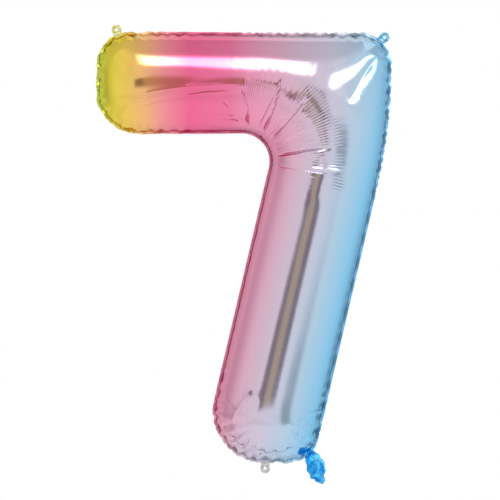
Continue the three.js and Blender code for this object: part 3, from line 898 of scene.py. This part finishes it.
def face_outwards(piece):
    """Points a closed piece's faces out of it."""
    shape = bmesh.new()
    shape.from_mesh(piece.data)
    bmesh.ops.recalc_face_normals(shape, faces=shape.faces)
    if shape.calc_volume(signed=True) < 0:
        bmesh.ops.reverse_faces(shape, faces=shape.faces)
    shape.to_mesh(piece.data)
    shape.free()


face_outwards(rim)
rim.data.shade_smooth()
# The welded rim's colour is mixed a little toward dark mauve: painted shade on the rim.
rim.data.materials.append(foil("welded_foil", 0.24, unshaded_share=0.93))
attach(rim, "balloon")
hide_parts("sealed_rim")


# ---------------------------------------------------------------- hanging tabs
# Three small round ears of the same film stand out of the rim. Each has a punched eyelet for the ribbon
# that the balloon hangs on or is tied down by.
TAB_RADIUS = 0.0100
EYELET_RADIUS = 0.0031
EYELET_REACH = 0.0085
TAB_ROOT = -0.0065
TAB_ROOT_ANGLE = math.radians(66)
TAB_FLARE = 1.75
TAB_THICKNESS = 0.0008
FOLD_ZONE = 0.0012
TABS = [
    ("top_left_tab", "hanging_tab_top_left", (-0.266080, -0.000576), (-0.224951, 0.974370),
     "yellow_tab", "#E2DE78"),
    ("top_right_tab", "hanging_tab_top_right", (0.261676, -0.013393), (0.743145, 0.669131),
     "blue_tab", "#5DB4E4"),
    ("bottom_tab", "hanging_tab_bottom", (0.029340, -0.860935), (0.0, -1.0),
     "silver_tab", "#CFCBCC"),
]


def tab_film(name, colour):
    """The film's own ink on a small piece: a mirror with a soft crinkle."""
    made = bpy.data.materials.new(name)
    shader = Shader(made)
    spot = shader.node("ShaderNodeTexCoord").outputs["Object"]
    crinkle = Number(shader, shader.node("ShaderNodeTexNoise", inputs={
        "Vector": spot, "Scale": 170.0, "Detail": 3.0}).outputs[0])
    relief = shader.node("ShaderNodeBump", inputs={"Height": crinkle, "Strength": 0.35, "Distance": 0.001})
    paler = tuple(0.35 + 0.65 * part for part in from_hex(colour))
    surface = shader.node("ShaderNodeBsdfPrincipled", inputs={
        "Base Color": shader.mix(crinkle.rise(0.35, 0.75), from_hex(colour), paler),
        "Metallic": 0.8, "Roughness": crinkle * 0.2 + 0.15, "Normal": relief.outputs[0]})
    shader.node("ShaderNodeOutputMaterial", inputs={"Surface": surface.outputs[0]})
    return made


def pick_edges(mesh, wanted):
    """In edit mode, leaves selected only the open edges whose two ends pass a test."""
    shape = bmesh.from_edit_mesh(mesh)
    shape.select_mode = {"EDGE"}
    for part in (*shape.verts, *shape.edges, *shape.faces):
        part.select = False
    for edge in shape.edges:
        if edge.is_boundary and all(wanted(vert.co) for vert in edge.verts):
            edge.select = True
    shape.select_flush_mode()
    bmesh.update_edit_mesh(mesh)


def make_tab(name):
    """One ear, lying on the XY plane, with its fold along X at the origin."""
    middle = (0, EYELET_REACH, 0)
    bpy.ops.object.select_all(action="DESELECT")
    bpy.ops.mesh.primitive_circle_add(vertices=40, radius=EYELET_RADIUS, location=middle)
    tab = bpy.context.object
    tab.name = name
    bpy.ops.object.transform_apply(location=True)
    bpy.ops.object.mode_set(mode="EDIT")
    bpy.ops.mesh.select_mode(type="EDGE")
    bpy.ops.mesh.select_all(action="SELECT")
    radius = EYELET_RADIUS
    for wider in (0.5, 0.85, 1.0):
        goal = EYELET_RADIUS + (TAB_RADIUS - EYELET_RADIUS) * wider
        bpy.ops.mesh.extrude_edges_move()
        bpy.ops.transform.resize(value=(goal / radius, goal / radius, 1), center_override=middle)
        radius = goal
    root_start = EYELET_REACH - TAB_RADIUS * math.cos(TAB_ROOT_ANGLE)
    pick_edges(tab.data, lambda at: at.y < root_start + 1e-5 and math.hypot(
        at.x, at.y - EYELET_REACH) > 0.99 * TAB_RADIUS)
    bpy.ops.mesh.extrude_edges_move()
    bpy.ops.transform.resize(value=(0.94, 0.0, 1), center_override=(0, -0.0022, 0))
    bpy.ops.mesh.extrude_edges_move()
    bpy.ops.transform.resize(value=(1.12, 1, 1), center_override=(0, 0, 0))
    bpy.ops.transform.translate(value=(0, -0.0015, 0))
    bpy.ops.mesh.extrude_edges_move()
    bpy.ops.transform.resize(value=(TAB_FLARE / 1.3, 1, 1), center_override=(0, 0, 0))
    bpy.ops.transform.translate(value=(0, TAB_ROOT + 0.0037, 0))
    bpy.ops.object.mode_set(mode="OBJECT")
    return tab


def finish_with(piece, kind, **settings):
    """Adds a modifier with its settings and applies it."""
    bpy.ops.object.select_all(action="DESELECT")
    piece.select_set(True)
    bpy.context.view_layer.objects.active = piece
    step = piece.modifiers.new(kind.lower(), kind)
    for setting, value in settings.items():
        setattr(step, setting, value)
    bpy.ops.object.modifier_apply(modifier=step.name)


crinkle_noise = bpy.data.textures.new("tab_crinkle", "CLOUDS")
crinkle_noise.noise_scale = 0.007
for body, node, fold, out, slot, colour in TABS:
    tab = make_tab(body + "_ear")
    finish_with(tab, "SUBSURF", levels=1, render_levels=1, boundary_smooth="PRESERVE_CORNERS")
    finish_with(tab, "DISPLACE", texture=crinkle_noise, texture_coords="GLOBAL", strength=0.0022,
                direction="Z", mid_level=0.5)
    finish_with(tab, "SOLIDIFY", thickness=TAB_THICKNESS, offset=0.0)
    finish_with(tab, "BEVEL", width=0.0002, segments=2, limit_method="ANGLE")
    side = Vector((out[1], 0, -out[0]))
    turn = np.eye(4)
    turn[:3, 0], turn[:3, 1], turn[:3, 2] = side, (out[0], 0, out[1]), (0, -1, 0)
    turn[:3, 3] = (fold[0], 0, fold[1])
    tab.data.transform(Matrix(turn.tolist()))
    face_outwards(tab)
    tab.data.shade_smooth()
    tab.data.materials.append(tab_film(slot + "_foil", colour))
    way = Vector((out[0], 0, out[1]))
    start = Vector((fold[0], 0, fold[1])) - way * FOLD_ZONE
    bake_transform(tab)
    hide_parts(node)


# ---------------------------------------------------------------- neck
# The filling neck is a blue sleeve of two plies at the foot's right. It is gathered where it
# leaves the balloon and hangs crumpled from there, and the valve's mouth lies inside it.
NECK_FOLD = (0.119124, -0.847219)
NECK_OUT = (0.453990, -0.891007)
NECK_START, NECK_END = -0.020, 0.055
NECK_PROFILE = [(0.0, 0.0100), (0.12, 0.0098), (0.28, 0.0135), (0.45, 0.0180), (0.62, 0.0188),
                (0.80, 0.0158), (1.0, 0.0085)]
NECK_DEPTH = 0.0060
NECK_ROWS, NECK_ROUND = 72, 112
NECK_FOLDS = [(2, 0.0018, 0.4), (4, 0.0009, 1.9)]
NECK_SET_BACK = 0.002
NECK_SKIN = 0.0003

share = np.linspace(0, 1, NECK_ROWS)
profile = np.array(NECK_PROFILE)
half = np.interp(share, profile[:, 0], profile[:, 1])
for again in range(10):
    half[1:-1] = (half[:-2] + 2 * half[1:-1] + half[2:]) / 4
around = np.arange(NECK_ROUND) / NECK_ROUND * 2 * math.pi
share, around = np.meshgrid(share, around, indexing="ij")
half = np.repeat(half[:, None], NECK_ROUND, 1)
pleats = 1 - eased(share, 0.05, 0.55)
sideways = half * np.cos(around)
depth = NECK_DEPTH * (0.55 + 0.45 * np.sin(math.pi * np.clip(share * 1.1, 0, 1))) * np.sin(around)
crease = sum(height * np.sin(count * sideways / 0.012 * (1.4 - 0.5 * share) + phase + 3.0 * share)
             for count, height, phase in NECK_FOLDS)
crease += 0.0014 * pleats * np.sin(sideways * 2 * math.pi / 0.0042 + 6 * share)
crease += 0.0020 * np.sin(share * 17 + sideways * 160) * eased(share, 0.3, 0.6)
depth = depth + crease
down = NECK_START + (NECK_END - NECK_START) * share
mouth = 0.004 * np.sin(sideways * 240 + 0.7) * eased(share, 0.8, 1.0)
down = down + mouth - 0.35 * abs(sideways) * eased(share, 0.7, 1.0)
sideways = sideways + 0.003 * np.sin(share * 4.0 + 0.4) + 0.0012 * np.sin(share * 26 + around)
neck_side = np.array((-NECK_OUT[1], NECK_OUT[0]))
flat = np.array(NECK_FOLD) + down[..., None] * np.array(NECK_OUT) + sideways[..., None] * neck_side
points = np.stack([flat[..., 0], depth - NECK_SET_BACK, flat[..., 1]], -1).reshape(-1, 3)
neck_faces = [
    (row * NECK_ROUND + at, row * NECK_ROUND + (at + 1) % NECK_ROUND,
     (row + 1) * NECK_ROUND + (at + 1) % NECK_ROUND, (row + 1) * NECK_ROUND + at)
    for row in range(NECK_ROWS - 1) for at in range(NECK_ROUND)
]
neck_mesh = bpy.data.meshes.new("filling_neck")
neck_mesh.from_pydata(points.tolist(), [], neck_faces)
neck = bpy.data.objects.new("filling_neck", neck_mesh)
bpy.context.scene.collection.objects.link(neck)
finish_with(neck, "SOLIDIFY", thickness=NECK_SKIN, offset=0.0)
face_outwards(neck)
neck.data.shade_smooth()

neck_foil = bpy.data.materials.new("blue_neck_foil")
shader = Shader(neck_foil)
spot = shader.node("ShaderNodeTexCoord").outputs["Object"]
crumple = Number(shader, shader.node("ShaderNodeTexNoise", inputs={
    "Vector": spot, "Scale": 48.0, "Detail": 1.5, "Distortion": 0.8}).outputs[0])
relief = shader.node("ShaderNodeBump", inputs={"Height": crumple, "Strength": 0.35, "Distance": 0.003})
surface = shader.node("ShaderNodeBsdfPrincipled", inputs={
    "Base Color": shader.mix(crumple.rise(0.35, 0.7), from_hex("#1590E0"), from_hex("#5CCBFC")),
    "Metallic": 0.75, "Roughness": crumple * 0.15 + 0.14, "Normal": relief.outputs[0]})
shader.node("ShaderNodeOutputMaterial", inputs={"Surface": surface.outputs[0]})
neck.data.materials.append(neck_foil)
fold, way = Vector((NECK_FOLD[0], 0, NECK_FOLD[1])), Vector((NECK_OUT[0], 0, NECK_OUT[1]))
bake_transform(neck)
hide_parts("neck_front_ply", "neck_rear_ply")


# ---------------------------------------------------------------- valve
# The self-sealing valve is two strips of clear film inside the balloon's foot. They lie on each
# other, and open a little when gas is blown in between them.
valve_clear = bpy.data.materials.new("clear_valve_film")
clear = Shader(valve_clear)
spot = clear.node("ShaderNodeTexCoord").outputs["Object"]
ripple = clear.node("ShaderNodeTexNoise", inputs={"Vector": spot, "Scale": 160.0})
surface = clear.node("ShaderNodeBsdfPrincipled", inputs={
    "Base Color": clear.mix(Number(clear, ripple.outputs[0]), (0.70, 0.74, 0.78), (0.86, 0.88, 0.90)),
    "Roughness": Number(clear, ripple.outputs[0]) * 0.1 + 0.15, "Alpha": 0.45})
clear.node("ShaderNodeOutputMaterial", inputs={"Surface": surface.outputs[0]})
for name in ("valve_mouth_front_ply", "valve_mouth_rear_ply", "valve_front_ply", "valve_rear_ply"):
    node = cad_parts[name]
    node.data.materials.clear()
    node.data.materials.append(valve_clear)
